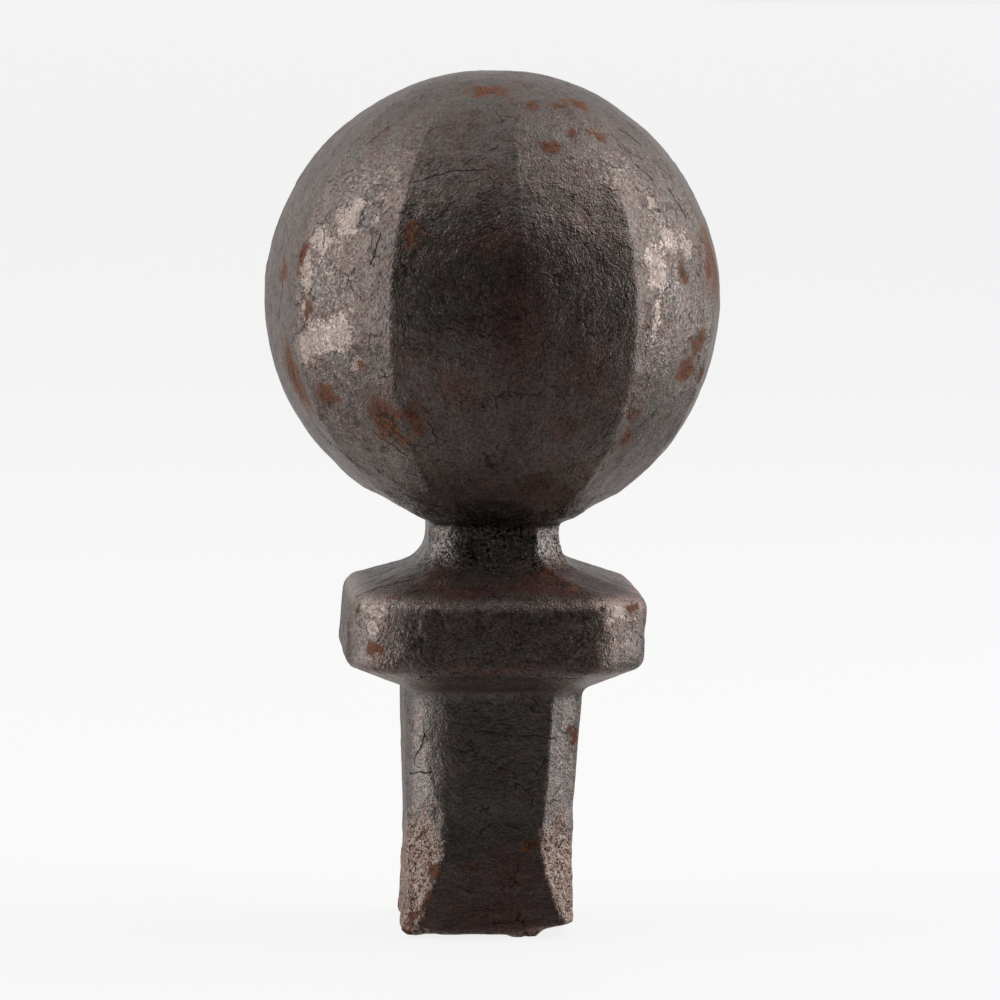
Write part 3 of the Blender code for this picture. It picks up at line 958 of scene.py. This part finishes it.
def forged_steel(skin):
    """Mill scale over steel: granular, cracked, flaked to bright metal in places, and spotted with rust."""
    material = bpy.data.materials.new("forged steel skin")
    material.use_nodes = True
    nodes = Nodes(material.node_tree)
    here = nodes.add("ShaderNodeTexCoord", None, None, "Object")
    x, _, z = nodes.split(here)
    scale_colour, grey_colour = opaque(skin.scale_colour), opaque(skin.grey_colour)
    red_colour, bare_colour = opaque(skin.red_colour), tuple(skin.bare_colour)
    rust_colour, rust_dark_colour = opaque(skin.rust_colour), opaque(skin.rust_dark_colour)

    def stored(name):
        return nodes.add("ShaderNodeAttribute", {"attribute_name": name}, None, "Fac")

    # Bands and faces of the forging
    on_ball = z.above(70 * MM, 80 * MM)
    crown = z.above(132 * MM, 144 * MM)
    neck = z.within(NECK_BAND)
    collar = z.within(COLLAR_BAND)
    slope_band = z.within(SLOPE_BAND)
    rough = z.within(ROUGH_BAND)
    shank = z.below(40 * MM, 47 * MM)
    flank = abs(x).above(13.6 * MM, 14.4 * MM) * shank
    flank = flank + abs(x).above(24.6 * MM, 25.4 * MM) * z.below(62 * MM, 64 * MM)
    outer = abs(x).above(5 * MM, 17 * MM)
    foot = z.below(66 * MM, 71 * MM)
    slope = z.above(60 * MM, 61.2 * MM) * (foot * 0.5 - outer * 1.2)

    # Noises, from fine to broad
    broad = 0.45 + on_ball * 0.55
    drawn = nodes.vectors("MULTIPLY", here, nodes.vector(broad, broad, 1.0 - on_ball * 0.5))
    fine = nodes.noise(here, 0.36 * MM, 2.0, 0.6)
    grain = nodes.noise(here, 0.66 * MM, 3.0, 0.65)
    wrinkles = nodes.noise(drawn, 1.3 * MM, 3.0, 0.6, 0.3)
    tinge = nodes.noise(here, 1.3 * MM, 2.0)
    lumps = nodes.noise(here, 2.4 * MM, 3.0, 0.6)
    mottle = nodes.noise(here, 5.5 * MM, 4.0, 0.6)
    clouds = nodes.noise(here, 19 * MM, 3.0, 0.55)
    spread = grain * 2.4 + lumps * 1.2 + fine * 1.4

    # Marks, which the mesh stores and the noises make ragged
    bare_edge = stored("bare") + lumps * 0.9
    bare = (bare_edge + mottle * 0.8 + grain * 1.2 + fine * 1.2).above(-0.08, 0.3)
    # A painted shadow: a thin dark ring round the bare patches, as a raised flake edge would cast
    ring = (bare_edge.above(-0.16, -0.06) - bare_edge.above(-0.06, 0.04)) * mottle.above(-0.1, 0.02)
    worn = stored("worn").above(-0.3, 0.6)
    fleck = (worn * 0.42 + spread).above(0.5, 0.95) * (worn * 0.7 + 0.3)
    shade = (spread - worn * 0.1).below(-0.5, -0.15)
    rust = (stored("rust") + lumps * 2.2 + grain * 2.4 + fine * 1.5).above(-0.02, 0.24)
    pitted = (stored("pitted") + lumps * 1.5 + grain * 1.5).above(-0.1, 0.25)
    red = (stored("red") + mottle * 1.6 + lumps * 1.5 + grain * 0.8).above(-0.15, 0.9)
    crack_side = stored("crack") + lumps * 0.9 + grain * 0.5
    crack = abs(crack_side).below(0.05, 0.2) * stored("cracked").above(0.05, 0.5)
    arris = (z + lumps * (3 * MM)).within(ARRIS_BAND)

    # Plates of scale, with lifted rims and bright specks
    plate_size = 6.5 * MM
    plates_at = nodes.vectors("ADD", here, nodes.jitter(here, 1.8 * MM, 1.7 * MM))
    plates_at = nodes.vectors("ADD", plates_at, nodes.jitter(here, 7 * MM, 6 * MM))
    edge = nodes.cells(plates_at, plate_size, "DISTANCE_TO_EDGE")
    plate, _, _ = nodes.split(nodes.cells(plates_at, plate_size).out("Color"))
    lifted = (nodes.noise(here, 5 * MM, 2.0) + worn * 0.05).above(0.01, 0.1)
    rim = edge.below(0.008, 0.03) * lifted
    speck = nodes.cells(plates_at, 2.1 * MM).below(0.07, 0.15) * (mottle + worn * 0.1).above(0.0, 0.12)

    # Scale: brown, grey, red and green tones, made lighter and darker by grain, by place on the part, and by
    # painted light and shade
    greyness = (mottle * 2.6 + neck * 0.8 + shank * 0.5 + 0.5).limited()
    redness = (red * (0.6 + slope_band * 0.35) + clouds.above(0.05, 0.3) * 0.15).limited()
    scale = nodes.colour(scale_colour, grey_colour, greyness)
    scale = nodes.colour(scale, red_colour, redness)
    scale = nodes.colour(scale, red_colour, tinge.above(0.05, 0.3) * 0.6)
    scale = nodes.colour(scale, GREEN_TINGE, tinge.below(-0.3, -0.05) * 0.5)
    speckle = 1.0 + neck * 1.1 - on_ball * 0.22 - crown * 0.3 - shank * 0.4
    tone_and_painted_light = (grain * 2.1 + fine * 2.1 + lumps * 1.1 + mottle * 0.7) * speckle
    # Lighter along the collar's upper arris, darker on the outer part of the collar's top slope and lighter at
    # the neck's foot. The side faces of the shank and collar are darker: painted shade.
    tone_and_painted_light = tone_and_painted_light + plate * 0.16 + arris * 0.35 + slope * foot - flank * 0.2
    # The shank is lighter, and its left chamfer more so: painted light, with a painted highlight on the left
    # chamfer. The ball is a little darker.
    tone_and_painted_light = tone_and_painted_light + shank * 0.14 + shank * x.below(-11 * MM, -7 * MM) * 0.2 - on_ball * 0.06
    # Lighter towards the collar's sides, and lighter on its underside: painted light from below.
    tone_and_painted_light = tone_and_painted_light + collar * (outer * 0.16 + z.below(46 * MM, 48 * MM) * 0.25)
    tone_and_painted_light = (tone_and_painted_light + 0.92).maths("MAXIMUM", 0.3)
    scale = nodes.scaled(scale, tone_and_painted_light * (1.0 - shade * (neck * 0.7 + 0.12)))

    # Bare steel, pitted steel with painted glints, rust and cracks over the scale, and painted shadow round
    # the bare patches
    bright = nodes.scaled(bare_colour, 1.0 + grain * 1.5 + fine * 1.5)
    # A painted glint: bare steel's colour at 1.45 times, for the bright grains between the pits
    glint = nodes.scaled(bare_colour, 1.45)
    steel = nodes.colour(scale, bright, (bare * 0.58 + fleck * 0.6 + speck * 0.5).limited())
    granules = nodes.colour(rust_dark_colour, glint, (grain * 5.0 + fine * 5.5 + 0.62).limited())
    granules = nodes.colour(granules, rust_colour, (tinge * 5.0 + fine * 2.0 + 0.3).limited() * 0.45)
    steel = nodes.colour(steel, granules, pitted)
    rust_tone = nodes.colour(rust_dark_colour, rust_colour, (spread * 2.2 + mottle + 0.64).limited())
    steel = nodes.colour(steel, rust_tone, rust)
    # Cracks and plate rims darkened, with the painted shadow round the bare patches
    steel = nodes.colour(steel, CRACK_AND_SHADOW_TONE, (crack * 0.75 + rim * 0.6 + ring * 0.4).limited())

    # Gloss
    dull = (rust * 0.95 + pitted * 0.4 + crack).limited()
    roughness = 0.315 - neck * 0.08 + flank * 0.2 + mottle * 0.14 + grain * 0.2 + shade * 0.08
    roughness = roughness - bare * 0.04 - fleck * 0.08
    roughness = (roughness + dull * 0.3).limited()
    metallic = 0.78 - dull * 0.72

    # Relief too fine for the mesh
    height = lumps * (0.17 * MM) + wrinkles * (0.06 * MM) + grain * (0.12 * MM) + fine * (0.11 * MM)
    height = height + lumps * shank * (0.1 * MM)
    height = height * (1.0 + rough * 0.4 + pitted * 0.6 - bare * 0.35)
    height = height + plate * edge.above(0.0, 0.04) * lifted * (0.05 * MM)
    height = height - bare * (0.05 * MM) - crack * (0.1 * MM) + rust * grain * (0.06 * MM)
    height = height + crack_side.above(-0.1, 0.1) * stored("cracked") * (0.05 * MM)
    bump = nodes.add("ShaderNodeBump", None, {"Strength": 1.0, "Distance": 1.0, "Height": height})

    sockets = {"Base Color": steel, "Roughness": roughness, "Metallic": metallic, "Normal": bump, "IOR": 1.4}
    shader = nodes.add("ShaderNodeBsdfPrincipled", None, sockets)
    nodes.add("ShaderNodeOutputMaterial", None, {"Surface": shader})
    material.diffuse_color = scale_colour
    return material


def make_forging(form, skin):
    """The dressed forging, as one plain mesh at the origin."""
    host = bpy.data.objects.new("forging", outline_mesh(form, heights(form)))
    bpy.context.scene.collection.objects.link(host)
    tree = ForgingTree(form, skin, forged_steel(skin))
    modifier = host.modifiers.new("forging", "NODES")
    modifier.node_group = tree.tree
    for identifier, value in tree.values.items():
        modifier[identifier] = value
    graph = bpy.context.evaluated_depsgraph_get()
    made = host.evaluated_get(graph)
    mesh = bpy.data.meshes.new_from_object(made, preserve_all_data_layers=True, depsgraph=graph)
    host.modifiers.remove(modifier)
    old = host.data
    host.data = mesh
    bpy.data.meshes.remove(old)
    return host


def room_light(studio):
    """The room: lighter behind the part and overhead, dark behind the camera, and white to look at."""
    world = bpy.data.worlds.new("studio room")
    world.use_nodes = True
    nodes = Nodes(world.node_tree)
    x, y, z = nodes.split(nodes.add("ShaderNodeTexCoord", None, None, "Generated"))
    behind = y.above(-0.15, 0.75)
    overhead = z.above(0.25, 0.95)
    ground = z.below(-0.6, 0.12) * (1.0 + x.below(-0.9, 0.0) * 1.3)
    dark_end = studio.front_glow + ground * (studio.ground_glow - studio.front_glow) + overhead * 0.03
    dark_end = dark_end + x.above(0.3, 0.7) * studio.right_fill
    looked_at = nodes.add("ShaderNodeLightPath", None, None, "Is Camera Ray")
    radiance = dark_end.mixed(studio.back_glow, behind).mixed(SEEN_GLOW, looked_at)
    room_tone = nodes.colour(DARK_END_TONE, BACK_TONE, behind.maths("MAXIMUM", looked_at))
    background = nodes.add("ShaderNodeBackground", None, {"Color": room_tone, "Strength": radiance})
    nodes.add("ShaderNodeOutputWorld", None, {"Surface": background})
    bpy.context.scene.world = world


def soft_box(box, radiance):
    """An area light that looks at the boxes' aim point, with a given radiance."""
    light = bpy.data.lights.new(box.name, "AREA")
    light.shape = "RECTANGLE"
    light.size, light.size_y = box.width, box.height
    light.energy = radiance * math.pi * box.width * box.height
    lamp = bpy.data.objects.new(box.name, light)
    bpy.context.scene.collection.objects.link(lamp)
    angle, elevation = math.radians(box.angle), math.radians(box.elevation)
    flat = math.cos(elevation)
    away = Vector((math.sin(angle) * flat, -math.cos(angle) * flat, math.sin(elevation)))
    lamp.location = BOX_AIM + away * box.distance
    lamp.rotation_euler = away.to_track_quat("Z", "Y").to_euler()
    lamp.visible_camera = False


def pale_floor(studio):
    """A wide pale floor that the part stands on. It stays out of the steel's reflections."""
    half = FLOOR_HALF
    mesh = bpy.data.meshes.new("floor")
    corners = [(-half, -half, 0.0), (half, -half, 0.0), (half, half, 0.0), (-half, half, 0.0)]
    mesh.from_pydata(corners, [], [(0, 1, 2, 3)])
    floor = bpy.data.objects.new("floor", mesh)
    bpy.context.scene.collection.objects.link(floor)
    material = bpy.data.materials.new("pale floor")
    material.use_nodes = True
    shader = material.node_tree.nodes["Principled BSDF"]
    shader.inputs["Base Color"].default_value = opaque(studio.floor_colour)
    shader.inputs["Roughness"].default_value = 0.9
    shader.inputs["Emission Color"].default_value = (1.0, 1.0, 1.0, 1.0)
    shader.inputs["Emission Strength"].default_value = FLOOR_GLOW
    mesh.materials.append(material)
    floor.visible_glossy = False
    floor.visible_diffuse = False


def studio_camera(studio):
    """The camera at the photograph's viewing angle."""
    azimuth, rise = studio.azimuth, studio.elevation
    back = Vector((math.sin(azimuth) * math.cos(rise), -math.cos(azimuth) * math.cos(rise), math.sin(rise)))
    side = Vector((math.cos(azimuth), math.sin(azimuth), 0.0))
    up = back.cross(side)
    aim = side * studio.aim_side + Vector((0.0, 0.0, studio.aim_height))
    rolled_side = side * math.cos(studio.roll) - up * math.sin(studio.roll)
    rolled_up = side * math.sin(studio.roll) + up * math.cos(studio.roll)
    data = bpy.data.cameras.new("camera")
    data.lens = studio.lens
    data.sensor_width = SENSOR_WIDTH
    data.clip_start = 0.01
    camera = bpy.data.objects.new("camera", data)
    bpy.context.scene.collection.objects.link(camera)
    turned = Matrix((rolled_side, rolled_up, back)).transposed().to_4x4()
    camera.matrix_world = Matrix.Translation(aim + back * studio.distance) @ turned
    bpy.context.scene.camera = camera


class POSTCAP_OT_forging(bpy.types.Operator):
    """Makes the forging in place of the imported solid"""

    bl_idname = "postcap.forging"
    bl_label = "Forging"

    def execute(self, context):
        scene = context.scene
        forging = make_forging(scene.post_cap_form, scene.post_cap_skin)
        if len(forging.data.polygons) == 0:
            raise RuntimeError("the forging's tree gave no faces")
        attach(forging, "root")
        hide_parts(NODE)
        return {"FINISHED"}


class POSTCAP_OT_studio(bpy.types.Operator):
    """Makes the floor, the lights and the camera"""

    bl_idname = "postcap.studio"
    bl_label = "Studio"

    def execute(self, context):
        studio = context.scene.post_cap_studio
        room_light(studio)
        pale_floor(studio)
        soft_box(LEFT_BOX, studio.left_glow)
        soft_box(RIGHT_BOX, studio.right_glow)
        soft_box(TOP_BOX, studio.top_glow)
        studio_camera(studio)
        context.scene.view_settings.view_transform = "Standard"
        return {"FINISHED"}


class POSTCAP_PT_sidebar(bpy.types.Panel):
    """Lists the sizes and the operators"""

    bl_idname = "POSTCAP_PT_sidebar"
    bl_label = "Post Cap"
    bl_space_type = "VIEW_3D"
    bl_region_type = "UI"
    bl_category = "Post Cap"

    def draw(self, context):
        layout = self.layout
        scene = context.scene
        for settings in (scene.post_cap_form, scene.post_cap_skin, scene.post_cap_studio):
            box = layout.box()
            for name in settings.bl_rna.properties.keys():
                if name not in ("rna_type", "name"):
                    box.prop(settings, name)
        layout.operator(POSTCAP_OT_forging.bl_idname)
        layout.operator(POSTCAP_OT_studio.bl_idname)


CLASSES = (
    PostCapForm,
    PostCapSkin,
    PostCapStudio,
    POSTCAP_OT_forging,
    POSTCAP_OT_studio,
    POSTCAP_PT_sidebar,
)


def register():
    for cls in CLASSES:
        bpy.utils.register_class(cls)
    bpy.types.Scene.post_cap_form = PointerProperty(type=PostCapForm)
    bpy.types.Scene.post_cap_skin = PointerProperty(type=PostCapSkin)
    bpy.types.Scene.post_cap_studio = PointerProperty(type=PostCapStudio)


def unregister():
    del bpy.types.Scene.post_cap_studio
    del bpy.types.Scene.post_cap_skin
    del bpy.types.Scene.post_cap_form
    for cls in reversed(CLASSES):
        bpy.utils.unregister_class(cls)


def main():
    register()
    bpy.ops.postcap.forging()
    bpy.ops.postcap.studio()


if __name__ == "__main__":
    main()
